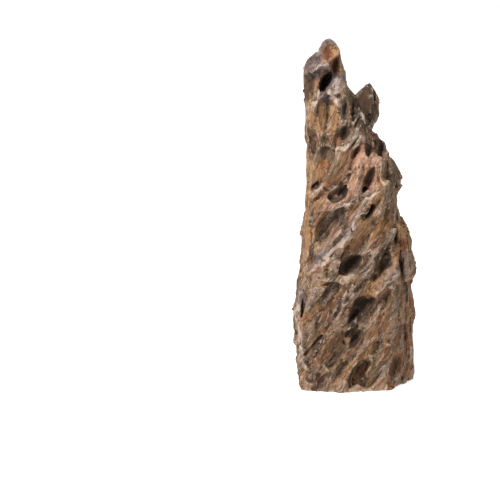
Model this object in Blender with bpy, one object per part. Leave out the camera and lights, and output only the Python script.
"""Dragon stone: an upright spire of hollowed rock with a side prong, flat where it stands.

The stone grew as one piece, so it is one object. Its form is a field of distances in
millimetres, negative inside: upright ribs are lofted into a spire, flat faces are broken off
it, hollows are scooped out of it, ledges are laid on it, and the surface where the field is
zero becomes the mesh.
The frame has +Z up, the front of the stone faces -Y, and the origin is the middle of the foot.
"""
import itertools
import math

import bmesh
import bpy
import numpy as np
import openvdb

NAME = "dragon_stone"
METRES_PER_MM = 0.001

# Driving sizes, in millimetres.
HEIGHT = 350.0
SPIRE_TOP = 334.0
PRONG_ROOT = 246.0
PRONG_TOP = 301.0
BOX_LOW = (-76.0, -64.0, -14.0)
BOX_HIGH = (80.0, 64.0, 358.0)
STEP = 2.5
MOST_TRIANGLES = 9400

# How strongly the rock is lumped and its hollows are bent, and over what lengths.
LUMPS = ((1.8, (26, 26, 34)), (0.6, (11, 11, 15)))
BENDS = ((1.6, (17, 17, 23)), (0.6, (7, 7, 10)))

# Share of a hollow's height that stays outside the rock: high is a dish, below zero undercuts.
SCOOP = 0.55
PIT = 0.0

# The lean of the grain from upright, in degrees to the right as seen from the front.
GRAIN_HEIGHTS = (0, 100, 200, 260, 300, 350)
GRAIN_LEANS = (32, 37, 33, 16, 8, 20)

# Each rib is an upright line of the spire: (height, x) pairs, then (height, y) pairs.
SPIRE_RIBS = (
    # left
    (((-18, -51.5), (28, -59), (60, -61.5), (81, -61.5), (113, -55.5), (167, -54), (175, -50.5),
      (196, -50), (227, -47.5), (242, -49.5), (252, -51.5), (277, -50), (287, -52), (302, -52),
      (314, -52), (324, -48), (334, -40), (345, -35)),
     ((-18, 3), (350, 1))),
    # front left corner
    (((-18, -52), (20, -56), (45, -57), (65, -54), (85, -49), (100, -46), (240, -45),
      (270, -45), (300, -46), (310, -46), (331, -40), (341, -35)),
     ((-18, -40), (45, -42), (100, -40), (140, -37), (190, -32), (240, -27), (300, -19),
      (310, -10), (340, -6))),
    # front middle
    (((-18, -12), (60, -10), (120, -5), (180, 0), (240, -8), (290, -22), (316, -28), (340, -28)),
     ((-18, -50), (60, -48), (120, -46), (180, -40), (240, -32), (298, -23), (310, -13),
      (340, -8))),
    # front right
    (((-18, 34), (60, 38), (120, 36), (180, 30), (215, 33), (250, 8), (275, 2), (292, -8),
      (316, -15), (340, -20)),
     ((-18, -40), (60, -40), (120, -38), (180, -34), (215, -26), (275, -22), (298, -16),
      (310, -8), (340, -6))),
    # right
    (((-18, 59.5), (19, 64), (50, 65.5), (100, 59.5), (103, 61.5), (114, 63.5), (129, 57),
      (146, 57.5), (170, 47.5), (171, 45), (181, 41), (193, 40.5), (205, 46.5), (210, 47),
      (221, 40), (227, 38), (237, 30), (243, 29), (247, 26), (253, 17), (257, 14), (283, 3.5),
      (291, -0.5), (298, -7), (308, -11.5), (315, -12), (323, -15), (334, -17)),
     ((-18, -4), (50, -4), (110, -1), (250, 1), (350, 0))),
    # back right
    (((-18, 44), (60, 48), (120, 44), (170, 36), (190, 37), (210, 41), (225, 32), (250, 14),
      (290, -4), (316, -14), (334, -20)),
     ((-18, 30), (120, 30), (215, 26), (250, 22), (290, 18), (316, 14), (350, 8))),
    # back middle
    (((-18, 0), (120, -2), (190, -6), (250, -18), (300, -30), (326, -33), (350, -28)),
     ((-18, 46), (60, 45), (120, 40), (190, 35), (250, 29), (300, 22), (326, 17), (350, 11))),
    # back left
    (((-18, -48), (60, -54), (120, -50), (250, -45), (300, -46), (316, -47), (335, -37),
      (350, -30)),
     ((-18, 34), (60, 32), (120, 28), (190, 24), (250, 20), (300, 15), (335, 12), (350, 8))),
)
PRONG_RIBS = (
    # left
    (((246, 0.5), (277, 1), (292, 3), (297, 6), (302, 11)), ((246, 6), (302, 5))),
    # front
    (((246, 8), (280, 13), (302, 13)), ((246, -9), (280, -4), (296, -1), (302, 3))),
    # right
    (((246, 17.5), (256, 14), (263, 16), (280, 22), (287, 22), (302, 14)),
     ((246, 4), (302, 5))),
    # back
    (((246, 8), (280, 12), (302, 13)), ((246, 17), (280, 15), (296, 11), (302, 6))),
)

# Hollows of the front: x, height, half length, half width, depth, lean in degrees, kind.
FRONT_HOLLOWS = (
    (-30, 309, 13.5, 5.2, 16, 26, PIT),  # slot under the cap
    (-21, 324, 10, 4.6, 6.5, 12, SCOOP),  # red hollow beside the slot
    (-47, 307, 10, 6, 4.5, 0, SCOOP),  # brown hollow below the cap
    (-39, 305, 9, 3, 2.5, 8, SCOOP),  # flute below the cap
    (-17, 296, 4, 3.6, 3, 0, SCOOP),  # small rimmed dent
    (-30, 279, 19, 11, 7, 4, SCOOP),  # bay under the arch
    (-12, 285, 13, 4, 5.5, 4, SCOOP),  # flute right of the arch
    (-3, 283, 12, 3.6, 4, 4, SCOOP),  # flute at the notch
    (1, 270, 9, 4, 5, 22, SCOOP),  # flute under the small arch
    (9, 267, 9, 3, 3, 15, SCOOP),  # flute beside the small arch
    (-13, 261, 11, 7.5, 10, 10, SCOOP),  # dark hollow below the flutes
    (-43, 247, 15, 3.2, 15, 3, PIT),  # left crack
    (-32, 251, 9, 7, 4, 3, SCOOP),  # hollow beside the crack
    (-31, 237, 12, 9, 4, 10, SCOOP),  # facet below the hanging lobe
    (0, 255, 15, 3.4, 4.5, 32, SCOOP),  # flute below the small arch
    (-1, 240, 8, 3, 7, 25, SCOOP),  # red split
    (12, 243, 9.5, 5.2, 12, 5, PIT),  # upper round pit
    (20, 249, 7, 3.6, 4, 20, SCOOP),  # dent behind the spike
    (25, 238, 10, 3.8, 6, 12, SCOOP),  # brown hollow at the edge
    (12, 215, 15, 6.5, 11, 22, PIT),  # lower long pit
    (8, 205, 5, 3.6, 13, 30, PIT),  # deep end of the long pit
    (23, 217, 12, 4, 4, 8, SCOOP),  # flute beside the knob
    (-45, 182, 18, 1.4, 2.5, 2, SCOOP),  # crack along the front left corner
    (-45, 149, 20, 1.4, 2.5, 1, SCOOP),  # its middle
    (-46, 114, 17, 1.4, 2.5, 1, SCOOP),  # its lower end
    (-41, 208, 8, 1.6, 7, 48, SCOOP),  # split below the orange facet
    (-38, 198, 13, 4, 3, 55, SCOOP),  # step below the split
    (-17, 200, 12, 6.5, 4.5, 70, SCOOP),  # rose bay over the ledge
    (-3, 184, 14, 3.4, 6.5, 42, SCOOP),  # upper flute of the slope
    (13, 183, 11, 4.2, 20, 33, PIT),  # black hole
    (28, 174, 3.2, 1.6, 9, 35, PIT),  # pin hole
    (21, 190, 15, 4.6, 4.5, 32, SCOOP),  # flute right of the black hole
    (32, 181, 14, 4, 4, 22, SCOOP),  # outer flute
    (-28, 166, 29, 15, 12, 36, SCOOP),  # big left hollow
    (-19, 157, 16, 6, 14, 38, SCOOP),  # its deep side
    (9, 154, 31, 15, 8, 36, SCOOP),  # broad slope below the band
    (25, 159, 20, 7, 5, 30, SCOOP),  # right side of the slope
    (-6, 130, 14, 8, 5.5, 58, SCOOP),  # dark pocket
    (29, 132, 22, 10.5, 14, 24, SCOOP),  # dark right hollow
    (32, 141, 11, 5, 16, 20, SCOOP),  # its deepest part
    (41, 156, 11, 2.6, 8, 2, PIT),  # crack beside the orange knob
    (19, 117, 8, 5.5, 10, 40, SCOOP),  # dent left of the ledge
    (6, 111, 14, 6, 6, 45, SCOOP),  # leaf-shaped hollow
    (-25, 104, 12, 5, 4, 50, SCOOP),  # bay left of the outcrop
    (-29, 110, 8, 2.5, 4, 75, SCOOP),  # undercut of the lobe
    (6, 89, 17, 11, 14, 62, SCOOP),  # great dark hollow
    (0, 80, 18, 8.5, 17, 24, SCOOP),  # its lower part
    (0, 55, 13, 7, 16, 35, SCOOP),  # lower dark hollow
    (-6, 60, 12, 9, 8, 30, SCOOP),  # rim of the lower hollow
    (-42, 47, 17, 2.6, 3.5, 42, SCOOP),  # its dark lower side
    (-51, 76, 8, 2.6, 4, 36, SCOOP),  # orange slot at the left
    (-34, 12, 10, 5, 6, 30, SCOOP),  # dark foot notch
    (-15, 21, 20, 8, 7, 32, SCOOP),  # hidden foot facet
    (30, 93, 17, 9, 11, 35, SCOOP),  # hidden hollow below the ledge
    (46, 68, 15, 6, 6, 20, SCOOP),  # hidden hollow at the right
    (22, 43, 22, 9, 9, 34, SCOOP),  # hidden lower hollow
    (44, 24, 16, 8, 9, 28, SCOOP),  # hidden foot hollow
    (5, 18, 16, 8, 7, 36, SCOOP),  # hidden foot bay
)

# The dish on the face of the tip: x, height, half length, half width, depth, the azimuth it
# looks towards, its lean, and how far the face leans back, in degrees.
TIP_DISH = (-27.5, 339.5, 11.5, 7.5, 3.2, 14, 14, 28)

# Flat-faced blocks that stand out of the spire: the corners of each, as x, y and height.
FLAT_BLOCKS = (
    # cap
    ((-54, 0, 316.5), (-52.5, 0, 322), (-48.5, -3, 329.5), (-39, -11, 337), (-40, 6, 335),
     (-51, -15, 317), (-28.5, -24.5, 328.5), (-26, -18, 320.5), (-36.5, -13, 308.5),
     (-46.5, -11, 314), (-52.5, 6, 310.5), (-25, 12, 325.5), (-35.5, 10, 304)),
    # tip
    ((-39, -16, 339.5), (-34, -9.5, 348), (-27.5, -6, 350.5), (-21.5, -6.5, 346.5),
     (-17, -10, 339.5), (-19, -14, 334), (-23, -17.5, 331), (-32, -21.5, 328.5),
     (-37.5, -19, 334), (-36, 6, 340.5), (-30.5, 5, 347.5), (-22.5, 6, 345.5),
     (-16.5, 6, 336.5), (-14.5, 4, 321), (-38, 8, 320.5)),
    # cheek right of the slot
    ((-15.5, -9, 321), (-10.5, -3, 316.5), (-11.5, -6, 305), (-10.5, -8, 298.5),
     (-27.5, -21, 300), (-23, -18, 308), (-11, 10, 316), (-10, 10, 294), (-24, 8, 296.5),
     (-18, 8, 316.5)),
    # prong
    ((13, 4, 304.5), (9, 0, 302), (3, 0, 298), (-1.5, 3, 292), (-3, -4, 276.5),
     (-1, -4, 262.5), (19.5, -8, 290.5), (16, -3, 299.5), (11, -13, 269.5), (21, 3, 293.5),
     (24.5, 3, 284.5), (24.5, 4, 276), (22, 4, 267), (16.5, 4, 261), (14, 2, 254),
     (14.5, 9, 300), (23, 12, 283.5), (21.5, 12, 267.5), (2, 12, 289.5), (1.5, 14, 263),
     (13.5, 12, 255)),
    # knob at the right
    ((31, -2, 238), (38.5, 2, 226.5), (44.5, 2, 215.5), (47.5, 2, 209.5), (46.5, 2, 203),
     (43, 2, 195), (41, 2, 187), (27, -16, 233), (37.5, -17, 215), (35, -14, 198),
     (28, -17, 192.5), (24, -21, 216.5), (33, 12, 232.5), (46.5, 14, 207.5), (42, 14, 185)),
    # spike below the prong
    ((14.5, -7, 249), (20.5, -2, 256), (23, -2, 250), (21.5, -9, 246.5), (17.5, 8, 248),
     (22.5, 8, 248)),
    # second spike
    ((21.5, -10, 243.5), (27.5, -4, 249.5), (30, -2, 242), (30.5, -9, 236.5),
     (23.5, -14, 238.5), (26.5, 8, 242.5), (31, 8, 237.5)),
    # orange knob
    ((41.5, -6, 171.5), (48, 0, 169), (53.5, 2, 155), (58, 2, 144.5), (57.5, 2, 133),
     (55, 2, 121.5), (43, -21, 163), (49, -21, 154.5), (52.5, -19, 139.5), (45.5, -21, 130),
     (40, -23, 140.5), (39, -21, 155.5), (48, 12, 167), (58.5, 12, 142), (56, 12, 119)),
    # low knob
    ((50.5, -16, 141), (58, 0, 134.5), (62.5, 0, 124), (63, -1, 116), (61.5, -3, 107),
     (56, -6, 98.5), (47.5, -16, 98.5), (48.5, -23, 128.5), (54.5, -21, 119.5), (42.5, 0, 94),
     (45, 2, 134), (58.5, 12, 131.5), (64, 12, 114.5), (58.5, 12, 93.5)),
    # outcrop
    ((-11.5, -51, 130), (-3.5, -48, 122), (-5.5, -48, 112.5), (-15, -47, 103),
     (-22, -46, 95.5), (-18.5, -51, 112.5), (-11, -34, 123), (-4, -34, 113), (-19.5, -34, 92),
     (-10.5, -34, 97.5)),
    # brown lobe
    ((-33, -46, 133.5), (-23.5, -45, 140.5), (-15.5, -45, 134.5), (-18.5, -48, 125),
     (-26, -47, 113.5), (-35, -46, 115), (-38, -46, 124.5), (-30.5, -34, 131.5),
     (-16, -34, 129.5), (-25.5, -34, 111), (-35.5, -34, 113)),
    # left limb of the arch
    ((-34, -21, 304), (-48, -22, 284), (-30.5, -31, 303), (-44.5, -31, 282), (-30.5, -27, 295),
     (-41, -27, 279), (-31.5, -14, 297.5), (-45, -14, 278.5)),
    # right limb of the arch
    ((-26, -20, 303.5), (-13, -21, 281), (-30.5, -31, 303), (-17.5, -30, 279),
     (-30.5, -27, 295), (-21.5, -26, 278), (-28.5, -14, 297.5), (-15.5, -14, 277.5)),
    # left limb of the small arch
    ((2, -13, 283.5), (-8, -15, 270), (3.5, -23, 282.5), (-5.5, -24, 268.5), (4.5, -19, 275.5),
     (-2, -20, 266), (3.5, -8, 281.5), (-6.5, -8, 267.5)),
    # right limb of the small arch
    ((6, -12, 283), (16, -12, 262), (3.5, -23, 282.5), (12, -21, 262), (4.5, -18, 274.5),
     (8.5, -18, 261.5), (5.5, -6, 281), (14.5, -6, 261)),
)

# Facets of the front: x, height, half length, half width, depth, lean of the length,
# how far the face turns to the right and how far it tilts up, in degrees.
FRONT_FACETS = (
    (-46, 302, 12, 7, 2, 0, -20, -8),  # left face below the cap
    (-37, 222, 17, 9, 3, 18, 8, 4),  # facet below the left crack
    (-17, 222, 23, 12, 3.5, 22, 10, -6),  # broad middle facet
    (4, 231, 15, 9, 2, 25, -8, 8),  # rose facet
    (-56, 82, 16, 6, 1.5, 14, -20, 6),  # facet at the left edge
    (-38, 72, 31, 13, 3, 34, -4, -4),  # long left facet
    (-40, 30, 22, 12, 4, 30, -6, -8),  # foot facet
    (-20, 46, 23, 9, 5, 27, 12, -6),  # middle foot facet
    (9, 152, 30, 14, 3, 36, 6, -6),  # slope below the band
    (42, 73, 26, 12, 3.5, 30, 20, 6),  # hidden facet at the right
    (17, 26, 24, 13, 4, 32, 8, -8),  # hidden foot facet
)

# Ledges of the front: x and height of one end, of the other,
# half width of its flat top, how proud it stands, how far its sides run down.
LEDGES = (
    (-46, 118, -31, 144, 3.5, 1.5, 6),  # band, lower end
    (-35, 137, -12, 164, 4.5, 1.5, 9),  # band, middle
    (-16, 158, 11, 186, 1.8, 1.5, 9),  # band, upper end
    (-44, 182, -24, 186, 0.5, 1, 5),  # lip left
    (-27, 186, -7, 192, 1, 1.5, 6),  # white lip over the big hollow
    (-10, 188, 29, 211, 0.8, 1.5, 7),  # lip rising to the right
    (-46, 195, -32, 210, 1.5, 1, 3),  # pale step at the left
    (-36, 247, -19, 249, 0.4, 1, 4),  # hanging lobe's edge
    (-21, 248, -6, 254, 0.6, 1.5, 5),  # pale lip
    (-7, 252, 5, 271, 0.6, 1.5, 5),  # lip up to the small arch
    (10, 97, 26, 114, 2.5, 2, 12),  # right ledge, lower
    (23, 110, 41, 125, 2.5, 2, 12),  # right ledge, middle
    (38, 118, 54, 138, 2, 1, 8),  # right ledge, upper
    (16, 122, 37, 161, 0.6, 1, 12),  # crest over the right hollow
    (34, 151, 42, 119, 0.8, 1.5, 12),  # wall right of the right hollow
    (-38, 94, -14, 94, 0.5, 1.5, 6),  # step at the left
    (-14, 101, 5, 116, 0.8, 1, 8),  # outcrop's foot
    (-39, 263, -38, 242, 0.3, 1, 6),  # rim of the left crack
    (-50, 108, -49, 163, 0.6, 0.8, 4),  # front left corner, low
    (-49, 155, -48, 208, 0.6, 0.8, 4),  # front left corner, middle
    (-48, 198, -47, 250, 0.6, 0.8, 4),  # front left corner, high
    (-47, 243, -50, 295, 0.5, 0.8, 3),  # front left corner, top
    (-35, 262, -34, 288, 3, -1.5, 7),  # left lobe under the arch
    (-23, 265, -24, 285, 2.6, -1.5, 7),  # right lobe under the arch
    (-14, 272, -6, 272, 0.2, 0.5, 4),  # lip of the flutes
    (-4, 196, 2, 230, 1.8, 1.5, 8),  # wall left of the long pit
    (1, 228, 23, 233, 1.6, 1, 6),  # bridge between the pits
    (24, 200, 23, 231, 0.6, 1, 6),  # wall right of the long pit
    (4, 232, 5, 255, 1.2, 1, 6),  # wall left of the round pit
    (18, 233, 15, 254, 0.3, 1, 6),  # rim right of the round pit
    (28, 221, 42, 215, 0.2, 0.8, 4),  # lip of the knob
    (-56, 65, -44, 89, 0.6, 1, 3),  # rim of the orange slot
    (-39, 50, -27, 59, 0.6, 1, 6),  # rib on the left facet
    (-28, 57, -21, 72, 0.4, 1, 6),  # its upper end
    (-30, 5, -19, 64, 0.5, 0, 5),  # rib between the foot facets
    (-40, 298, -36, 314, 0.6, 0.6, 3),  # rib left of the slot
    (-13, 63, 12, 78, 1.5, 0, 12),  # wall between the dark hollows
    (-11, 66, -4, 97, 0.8, 1, 10),  # left wall of the great hollow
    (9, 48, 25, 89, 1, 0, 10),  # right wall of the great hollow
)

# Hollows of the sides and the back come in upright columns, one every so many degrees.
# Those of the left and right edges end lower and stay shallow, to keep the outline's form.
SIDE_AZIMUTHS = range(58, 303, 22)
SIDE_LENGTHS = (15, 33)
SIDE_BOTTOMS = (24, 44)
SIDE_TOP = 322
EDGE_TOP = 270
EDGE_SHARE = 0.25
DEEP_AZIMUTHS = (112, 250)
SIDE_SEED = 7

# How far round a flat-faced block its distances are worked out, and how far a corner may
# stand off a plane and still count as on it.
BLOCK_REACH = 8.0
FLAT_ENOUGH = 0.001

# A flat face reaches this far out of the rock and into it.
FACET_REACH = 24.0

# Small scallops cover all of it: spacing round and up, half lengths, depths, in millimetres.
SCALLOP_SPACING = (8.0, 15.0)
SCALLOP_LENGTHS = (11.0, 26.0)
SCALLOP_DEPTHS = (0.5, 1.9)
SCALLOP_SEED = 11

# How much shallower the scallops are at the left and right edges, as a share, and how much
# of their depth is left on the front.
EDGE_CALM = 0.4
FRONT_SHARE = 0.2

# The cap of the spire above this height keeps its flat broken faces.
CAP_BOTTOM = 300

# Sharp crests along the grain: their height, and their spacing aside, in depth and up.
GRAIN = ((0.9, (11, 11, 60)), (0.4, (5, 5, 34)))
GRAIN_REACH = 8.0
CREST = 3.0

# What the scallops take off on average is first added all round.
ALLOWANCE = 0.9

# By how many steps of the grid the rock grows back after it is eaten back by two, and by how
# many steps its thinnest rims are eaten back and grown again.
WEAR_GROWTH = 4
FINEST_WEAR = 1

# How steeply a ledge's sides fall away: 1 is 45 degrees.
LEDGE_SLOPE = 3.0

# How sharply a hollow's ends come to a point, and how far its floor lies to one side.
POINTED = 0.45
MOST_SKEW = 0.4

STONE_COLOUR = (0.235, 0.160, 0.110, 1.0)
STONE_ROUGHNESS = 0.82


class Grid:
    """The evenly spaced points at which the field is held."""

    def __init__(self, step):
        self.step = step
        self.low = np.array(BOX_LOW)
        count = np.ceil((np.array(BOX_HIGH) - self.low) / step).astype(int) + 1
        self.axes = [
            (self.low[i] + step * np.arange(count[i])).astype(np.float32) for i in range(3)
        ]
        self.shape = tuple(count)

    def block(self, centre, reach):
        """The slices of the grid within reach of a centre."""
        first = np.floor((centre - reach - self.low) / self.step).astype(int)
        last = np.ceil((centre + reach - self.low) / self.step).astype(int) + 1
        first = np.clip(first, 0, self.shape)
        last = np.clip(last, first, self.shape)
        return tuple(slice(a, b) for a, b in zip(first, last))


def cloud(grid, cell, seed):
    """Smooth noise from -1 to 1, its swells one cell apart."""
    random = np.random.default_rng(seed)
    spans = [BOX_HIGH[i] - BOX_LOW[i] for i in range(3)]
    values = random.uniform(-1, 1, [int(spans[i] / cell[i]) + 3 for i in range(3)])
    values = values.astype(np.float32)
    for i in range(3):
        place = (grid.axes[i] - BOX_LOW[i]) / cell[i]
        first = np.floor(place).astype(int)
        share = place - first
        share = (share * share * (3 - 2 * share)).astype(np.float32)
        share = share.reshape([-1 if j == i else 1 for j in range(3)])
        before = np.take(values, first, i)
        after = np.take(values, first + 1, i)
        values = before * (1 - share) + after * share
    return values


def cloud_at(places, cell, seed):
    """Smooth noise from -1 to 1 at any places, its swells one cell apart."""
    random = np.random.default_rng(seed)
    values = random.uniform(-1, 1, (32, 32, 32)).astype(np.float32)
    firsts = []
    shares = []
    for i in range(3):
        place = places[i] / cell[i]
        first = np.floor(place)
        share = place - first
        firsts.append(first.astype(int))
        shares.append(share * share * (3 - 2 * share))
    total = 0
    for corner in itertools.product((0, 1), repeat=3):
        weight = 1
        for share, step in zip(shares, corner):
            weight = weight * (share if step else 1 - share)
        index = tuple((first + step) % 32 for first, step in zip(firsts, corner))
        total = total + weight * values[index]
    return total


def outline_distance(corners, x, y):
    """Distance to a closed outline in the plane, negative inside it."""
    inside = np.zeros(x.shape, bool)
    nearest = np.full(x.shape, np.inf, np.float32)
    for (ax, ay), (bx, by) in zip(corners, corners[1:] + corners[:1]):
        along = (x - ax) * (bx - ax) + (y - ay) * (by - ay)
        length2 = max((bx - ax) ** 2 + (by - ay) ** 2, 1e-9)
        share = np.clip(along / length2, 0, 1)
        gap = (x - ax - share * (bx - ax)) ** 2 + (y - ay - share * (by - ay)) ** 2
        nearest = np.minimum(nearest, gap)
        if ay != by:
            level = (ay > y) != (by > y)
            inside ^= level & (x < (bx - ax) * (y - ay) / (by - ay) + ax)
    return np.where(inside, -1, 1) * np.sqrt(nearest)


def lofted(grid, ribs, low, top):
    """The field of a solid whose level cuts are the outlines through the ribs."""
    x, y = np.meshgrid(grid.axes[0], grid.axes[1], indexing="ij")
    field = np.empty(grid.shape, np.float32)
    for k, height in enumerate(grid.axes[2]):
        level = min(max(height, low), top)
        corners = [
            tuple(float(np.interp(level, *zip(*pairs))) for pairs in rib) for rib in ribs
        ]
        walls = outline_distance(corners, x, y)
        field[:, :, k] = np.maximum(walls, max(height - top, low - height))
    return field


def bent_places(grid):
    """Every grid point's place, shifted a little so that what is built on it looks weathered."""
    places = []
    for i, place in enumerate(np.meshgrid(*grid.axes, indexing="ij", sparse=True)):
        for number, (size, cell) in enumerate(BENDS):
            place = place + size * cloud(grid, cell, 10 * (number + 1) + i)
        places.append(place)
    return places


def face_directions(azimuth, lean, dive=0.0):
    """Along, across and out of a hollow, on the face that looks towards the azimuth.

    Azimuth 0 looks towards -Y and 90 towards +X. Dive sinks the upper end into the face.
    """
    azimuth, lean, dive = (math.radians(angle) for angle in (azimuth, lean, dive))
    out = np.array([math.sin(azimuth), -math.cos(azimuth), 0.0])
    aside = np.array([math.cos(azimuth), math.sin(azimuth), 0.0])
    along = aside * math.sin(lean) + np.array([0.0, 0.0, math.cos(lean)])
    across = np.cross(out, along)
    along = along * math.cos(dive) - out * math.sin(dive)
    return along, across, np.cross(along, across)


def skin_point(grid, field, azimuth, aside, height):
    """Where a straight look at the face first meets the rock, or None past its edge."""
    along, across, out = face_directions(azimuth, 0.0)
    far = max(BOX_HIGH[0], BOX_HIGH[1])
    depths = np.arange(far, -far / 2, -grid.step / 2)
    points = -across * aside + along * height + out * depths[:, None]
    index = np.round((points - grid.low) / grid.step).astype(int)
    within = ((index >= 0) & (index < grid.shape)).all(1)
    index = np.clip(index, 0, np.array(grid.shape) - 1)
    hits = np.nonzero(within & (field[tuple(index.T)] < 0))[0]
    return points[hits[0]] if len(hits) else None


def local_places(places, block, centre, directions):
    """How far each point of the block lies from the centre along each direction."""
    gaps = [places[i][block] - centre[i] for i in range(3)]
    return [sum(gap * part for gap, part in zip(gaps, way)) for way in directions]


def reach_of(directions, radii):
    """Half the size of the upright box round an ellipsoid, with room for the bends."""
    spread = sum((way * radius) ** 2 for way, radius in zip(directions, radii))
    return np.sqrt(spread) + sum(size for size, _ in BENDS)


def carve(grid, field, places, point, directions, hollow, skew=0.0):
    """Takes a leaf-shaped hollow out of the field, the given depth into the face at the point.

    It is an ellipsoid with a crease along its floor. Skew moves the crease to one side.
    """
    half_length, half_width, depth, kind = hollow
    widen = 1 / math.sqrt(1 - kind * kind)
    radii = (half_length * widen, half_width * widen * (1 + abs(skew)), depth / (1 - kind))
    centre = point + directions[2] * (radii[2] - depth)
    block = grid.block(centre, reach_of(directions, radii))
    along, across, out = local_places(places, block, centre, directions)
    width = half_width * widen * (1 + skew * np.sign(across))
    aside = (np.abs(across) / width + POINTED) / (1 + POINTED)
    near = np.sqrt((along / radii[0]) ** 2 + aside ** 2 + (out / radii[2]) ** 2)
    steep = np.sqrt(
        (along / radii[0] ** 2) ** 2
        + (aside / width / (1 + POINTED)) ** 2
        + (out / radii[2] ** 2) ** 2
    )
    rim = near * (near - 1) / (steep + 1e-9)
    field[block] = np.maximum(field[block], -rim)


def join_block(grid, field, corners):
    """Joins on a flat-faced block, the smallest convex solid round its corners."""
    corners = np.array(corners, float)
    low, high = corners.min(0), corners.max(0)
    block = grid.block((low + high) / 2, (high - low) / 2 + BLOCK_REACH)
    x, y, z = np.meshgrid(*(axis[cut] for axis, cut in zip(grid.axes, block)), indexing="ij")
    solid = np.full(x.shape, -np.inf, np.float32)
    for three in itertools.combinations(corners, 3):
        normal = np.cross(three[1] - three[0], three[2] - three[0])
        size = np.linalg.norm(normal)
        if size < FLAT_ENOUGH:
            continue
        normal = normal / size
        heights = (corners - three[0]) @ normal
        for way in (1, -1):
            if (way * heights).max() < FLAT_ENOUGH:
                plane = x * normal[0] + y * normal[1] + z * normal[2] - three[0] @ normal
                solid = np.maximum(solid, way * plane)
    field[block] = np.minimum(field[block], solid)


def cut_facet(grid, field, places, point, directions, facet):
    """Breaks a flat face off the rock: within its outline, all that lies before a plane goes.

    The plane runs the given depth below the point, turned to the right and tilted up by angles.
    """
    half_length, half_width, depth, turn, tilt = facet
    turn, tilt = math.radians(turn), math.radians(tilt)
    block = grid.block(point, reach_of(directions, (half_length, half_width, FACET_REACH)))
    along, across, out = local_places(places, block, point, directions)
    out = out + depth
    before = out * math.cos(turn) * math.cos(tilt) - across * math.sin(turn)
    before = before + along * math.sin(tilt)
    outline = ((along / half_length) ** 4 + (across / half_width) ** 4) ** 0.25
    within = (1 - outline) * min(half_length, half_width)
    within = np.minimum(within, FACET_REACH - np.abs(out))
    field[block] = np.maximum(field[block], np.minimum(before, within))


def lay_ledge(grid, field, skin, places, ends, flat, proud, deep):
    """Adds a ridge between two places of the front: its crest stands proud of the skin, and its
    sloping sides run down into the hollows beside it."""
    x1, z1, x2, z2 = ends
    point = skin_point(grid, skin, 0, (x1 + x2) / 2, (z1 + z2) / 2)
    lean = math.degrees(math.atan2(x2 - x1, z2 - z1))
    directions = face_directions(0, lean)
    half_length = 0.6 * math.hypot(x2 - x1, z2 - z1)
    foot = flat + (proud + deep) / LEDGE_SLOPE
    block = grid.block(point, reach_of(directions, (half_length, foot, proud + deep)))
    along, across, out = local_places(places, block, point, directions)
    crest = proud - (proud + deep) * (along / half_length) ** 8
    sides = LEDGE_SLOPE * np.maximum(np.abs(across) - flat, 0)
    roof = (out - crest + sides) / math.hypot(1, LEDGE_SLOPE)
    ends_off = np.maximum(np.abs(along) - half_length, -out - deep)
    field[block] = np.minimum(field[block], np.maximum(roof, ends_off))


def carve_tip_dish(grid, field, skin, places):
    """Scoops the shallow dish out of the face of the tip, which leans back."""
    x, height, half_length, half_width, depth, azimuth, lean, dive = TIP_DISH
    point = skin_point(grid, skin, 0, x, height)
    hollow = (half_length, half_width, depth, SCOOP)
    carve(grid, field, places, point, face_directions(azimuth, lean, dive), hollow)


def grain_lean(azimuth, height):
    """The grain's lean as it shows on the face that looks towards the azimuth."""
    lean = np.interp(height, GRAIN_HEIGHTS, GRAIN_LEANS)
    return float(lean) * math.cos(math.radians(azimuth))


def hollow_sides(grid, field, places):
    """Staggered columns of long hollows on the faces that look sideways and back."""
    random = np.random.default_rng(SIDE_SEED)
    skin = field.copy()
    for column in SIDE_AZIMUTHS:
        height = random.uniform(*SIDE_BOTTOMS)
        inner = DEEP_AZIMUTHS[0] < column < DEEP_AZIMUTHS[1]
        while height < (SIDE_TOP if inner else EDGE_TOP):
            slim = 1 - 0.55 * height / HEIGHT
            half_length = random.uniform(*SIDE_LENGTHS) * slim
            half_width = half_length * random.uniform(0.34, 0.52)
            azimuth = column + random.uniform(-9, 9)
            deep = inner and random.random() < 0.4
            share = random.uniform(1.5, 2.3) if deep else random.uniform(0.6, 0.95)
            depth = half_width * share * (1 if inner else EDGE_SHARE)
            lean = grain_lean(azimuth, height) + random.uniform(-9, 9)
            point = face_point(grid, skin, azimuth, height)
            skew = random.uniform(-MOST_SKEW, MOST_SKEW)
            if point is not None:
                hollow = (half_length, half_width, depth, PIT if deep else SCOOP)
                directions = face_directions(azimuth, lean, 10)
                carve(grid, field, places, point, directions, hollow, skew)
            height += half_length * random.uniform(1.25, 1.75)


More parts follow.
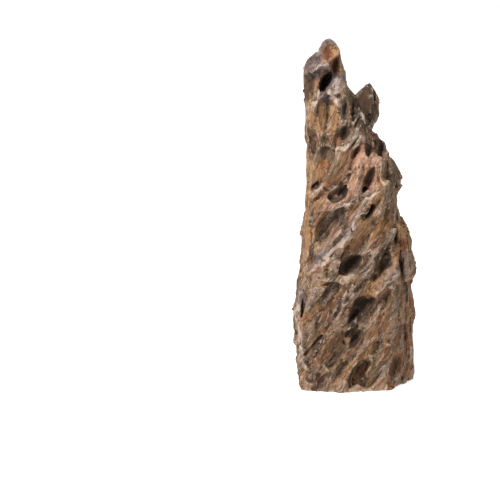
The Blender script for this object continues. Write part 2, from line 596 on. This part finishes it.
def scallop_all(grid, field, places):
    """Covers every face with small shallow scallops that follow the grain."""
    random = np.random.default_rng(SCALLOP_SEED)
    skin = field.copy()
    across, up = SCALLOP_SPACING
    for row, height in enumerate(np.arange(3, HEIGHT, up)):
        girth = 2 * math.pi * (28 + 30 * (1 - height / HEIGHT))
        count = int(girth / across)
        for number in range(count):
            azimuth = 360 * (number + 0.5 * (row % 2) + random.uniform(-0.3, 0.3)) / count
            level = height + random.uniform(-0.4, 0.4) * up
            half_length = random.uniform(*SCALLOP_LENGTHS)
            half_width = half_length * random.uniform(0.16, 0.28)
            calm = np.interp(level, (0, CAP_BOTTOM, CAP_BOTTOM + 12), (1, 0.6, 0.25))
            depth = random.uniform(*SCALLOP_DEPTHS) * calm
            depth *= 1 - EDGE_CALM * math.sin(math.radians(azimuth)) ** 4
            depth *= np.interp(math.cos(math.radians(azimuth)), (0.2, 0.6), (1, FRONT_SHARE))
            lean = grain_lean(azimuth, level) + random.uniform(-9, 9)
            point = face_point(grid, skin, azimuth, level)
            skew = random.uniform(-MOST_SKEW, MOST_SKEW)
            if point is not None:
                hollow = (half_length, half_width, depth, SCOOP)
                directions = face_directions(azimuth, lean, 4)
                carve(grid, field, places, point, directions, hollow, skew)


def along_grain(places):
    """Places slid sideways with height so that the grain runs straight up in them."""
    x, y, z = places
    heights = np.linspace(BOX_LOW[2], BOX_HIGH[2], 94)
    leans = np.radians(np.interp(heights, GRAIN_HEIGHTS, GRAIN_LEANS))
    slides = np.cumsum(np.tan(leans)) * (heights[1] - heights[0])
    return x - np.interp(z, heights, slides), y, z


def raise_grain(field, places):
    """Lays sharp crests along the grain, over everything near the surface."""
    near = np.abs(field) < GRAIN_REACH
    spots = along_grain([place[near] for place in places])
    relief = sum(
        size * (1 - CREST * np.abs(cloud_at(spots, cell, 90 + number)))
        for number, (size, cell) in enumerate(GRAIN)
    )
    field[near] -= relief


def face_point(grid, field, azimuth, height):
    """The skin on the face that looks towards the azimuth, straight out from the spire's middle."""
    middle = [
        np.mean([np.interp(height, *zip(*rib[axis])) for rib in SPIRE_RIBS]) for axis in (0, 1)
    ]
    across = face_directions(azimuth, 0.0)[1]
    return skin_point(grid, field, azimuth, -across[:2] @ middle, height)


def stone_field(grid):
    """The whole stone as a field of distances."""
    field = lofted(grid, SPIRE_RIBS, SPIRE_RIBS[0][0][0][0], SPIRE_TOP)
    prong = lofted(grid, PRONG_RIBS, PRONG_ROOT, PRONG_TOP)
    lumps = sum(size * cloud(grid, cell, seed) for seed, (size, cell) in enumerate(LUMPS))
    lumps *= np.interp(grid.axes[2], (CAP_BOTTOM, CAP_BOTTOM + 20), (1, 0.35))
    field += lumps - ALLOWANCE
    prong += 0.5 * lumps - ALLOWANCE
    places = bent_places(grid)
    raise_grain(field, places)
    raise_grain(prong, places)
    field = np.minimum(field, prong)
    hollow_sides(grid, field, places)
    for corners in FLAT_BLOCKS:
        join_block(grid, field, corners)
    straight = np.meshgrid(*grid.axes, indexing="ij")
    for x, height, half_length, half_width, depth, lean, turn, tilt in FRONT_FACETS:
        point = skin_point(grid, field, 0, x, height)
        facet = (half_length, half_width, depth, turn, tilt)
        cut_facet(grid, field, straight, point, face_directions(0, lean), facet)
    skin = field.copy()
    for x, height, half_length, half_width, depth, lean, kind in FRONT_HOLLOWS:
        point = skin_point(grid, skin, 0, x, height)
        hollow = (half_length, half_width, depth, kind)
        carve(grid, field, places, point, face_directions(0, lean, 6), hollow)
    carve_tip_dish(grid, field, skin, straight)
    for *ends, flat, proud, deep in LEDGES:
        lay_ledge(grid, field, skin, places, ends, flat, proud, deep)
    scallop_all(grid, field, places)
    return skin, worn(field, FINEST_WEAR)


def spread(field, lower):
    """Each value replaced by the lowest, or the highest, among it and its six neighbours."""
    pick = np.minimum if lower else np.maximum
    result = field.copy()
    for axis in range(3):
        before, after = ([slice(None)] * 3 for _ in range(2))
        before[axis] = slice(None, -1)
        after[axis] = slice(1, None)
        before, after = tuple(before), tuple(after)
        result[after] = pick(result[after], field[before])
        result[before] = pick(result[before], field[after])
    return result


def worn(field, finest):
    """The field with thin flakes broken off short.

    The rock is eaten back by two steps, which loses whatever is thin. It is then grown by more
    than that, so that its sharp rims come back, but not what stands far out from thicker rock.
    Finest is how many steps the remaining rims are eaten back and grown again.
    """
    thick = spread(spread(field, False), False)
    for _ in range(WEAR_GROWTH):
        thick = spread(thick, True)
    for lower in [False] * finest + [True] * finest:
        field = spread(field, lower)
    return np.maximum(field, thick)


def corners_of(inside, axes):
    """The grid cut into overlapping squares or cubes: one array for each corner, by its place."""
    corners = {}
    for place in itertools.product((0, 1), repeat=len(axes)):
        cut = [slice(None)] * 3
        for axis, step in zip(axes, place):
            cut[axis] = slice(1, None) if step else slice(None, -1)
        corners[place] = inside[tuple(cut)]
    return corners


def close_contacts(grid, field):
    """Fills in wherever the rock would touch itself only along an edge or at a corner.

    Such a place has two opposite corners of a square or a cube alike and all its others unlike.
    """
    found = True
    while found:
        found = False
        for axes in ((0, 1), (0, 2), (1, 2), (0, 1, 2)):
            corners = corners_of(field < 0, axes)
            total = sum(corner.astype(np.int8) for corner in corners.values())
            wrong = np.zeros(total.shape, bool)
            for place, first in corners.items():
                last = corners[tuple(1 - step for step in place)]
                wrong |= first & last & (total == 2)
                wrong |= ~first & ~last & (total == len(corners) - 2)
            if wrong.any():
                found = True
                for corner in corners_of(field, axes).values():
                    corner[wrong] = np.minimum(corner[wrong], -0.1 * grid.step)


def surface(grid, field):
    """The zero surface of the field as points in millimetres and faces of four and three."""
    volume = openvdb.FloatGrid(background=3 * grid.step)
    volume.copyFromArray(np.clip(field, -3 * grid.step, 3 * grid.step).astype(np.float32))
    points, triangles, quads = volume.convertToPolygons(isovalue=0.0, adaptivity=0.0)
    return points * grid.step + grid.low, [*map(tuple, quads), *map(tuple, triangles)]


def keep_largest(mesh):
    """Deletes every loose crumb, also one that only touches, leaving the largest body."""
    left = set(mesh.faces)
    bodies = []
    while left:
        body = []
        front = [left.pop()]
        while front:
            face = front.pop()
            body.append(face)
            for edge in face.edges:
                for other in edge.link_faces if len(edge.link_faces) == 2 else ():
                    if other in left:
                        left.remove(other)
                        front.append(other)
        bodies.append(body)
    bodies.sort(key=len)
    crumbs = [face for body in bodies[:-1] for face in body]
    bmesh.ops.delete(mesh, geom=crumbs, context="FACES")


def thinned(data):
    """The mesh with far fewer triangles, most of them kept where the surface bends."""
    helper = bpy.data.objects.new("thinning", data)
    bpy.context.collection.objects.link(helper)
    thin = helper.modifiers.new("thin", "DECIMATE")
    thin.ratio = MOST_TRIANGLES / (2 * len(data.polygons))
    graph = bpy.context.evaluated_depsgraph_get()
    result = bpy.data.meshes.new_from_object(helper.evaluated_get(graph))
    bpy.data.objects.remove(helper)
    return result


def cut_foot(mesh):
    """Cuts the stone off level at the height of zero and closes the cut."""
    everything = [*mesh.verts, *mesh.edges, *mesh.faces]
    bmesh.ops.bisect_plane(
        mesh, geom=everything, plane_co=(0, 0, 0), plane_no=(0, 0, 1), clear_inner=True
    )
    rim = [edge for edge in mesh.edges if edge.is_boundary]
    bmesh.ops.triangle_fill(mesh, use_beauty=True, use_dissolve=False, edges=rim)
    bmesh.ops.triangulate(mesh, faces=mesh.faces[:])
    bmesh.ops.recalc_face_normals(mesh, faces=mesh.faces[:])


def stone_material():
    material = bpy.data.materials.new("weathered stone")
    material.use_nodes = True
    shader = material.node_tree.nodes["Principled BSDF"]
    shader.inputs["Base Color"].default_value = STONE_COLOUR
    shader.inputs["Roughness"].default_value = STONE_ROUGHNESS
    shader.inputs["Metallic"].default_value = 0.0
    return material


def make_stone():
    grid = Grid(STEP)
    _, field = stone_field(grid)
    close_contacts(grid, field)
    points, faces = surface(grid, field)
    data = bpy.data.meshes.new(NAME)
    data.from_pydata(points * METRES_PER_MM, [], faces)
    mesh = bmesh.new()
    mesh.from_mesh(data)
    keep_largest(mesh)
    mesh.to_mesh(data)
    mesh.free()
    data = thinned(data)
    mesh = bmesh.new()
    mesh.from_mesh(data)
    cut_foot(mesh)
    keep_largest(mesh)
    mesh.to_mesh(data)
    mesh.free()
    data.materials.append(stone_material())
    data.shade_flat()
    stone = bpy.data.objects.new(NAME, data)
    bpy.context.collection.objects.link(stone)


for old in list(bpy.data.objects):
    bpy.data.objects.remove(old)
make_stone()
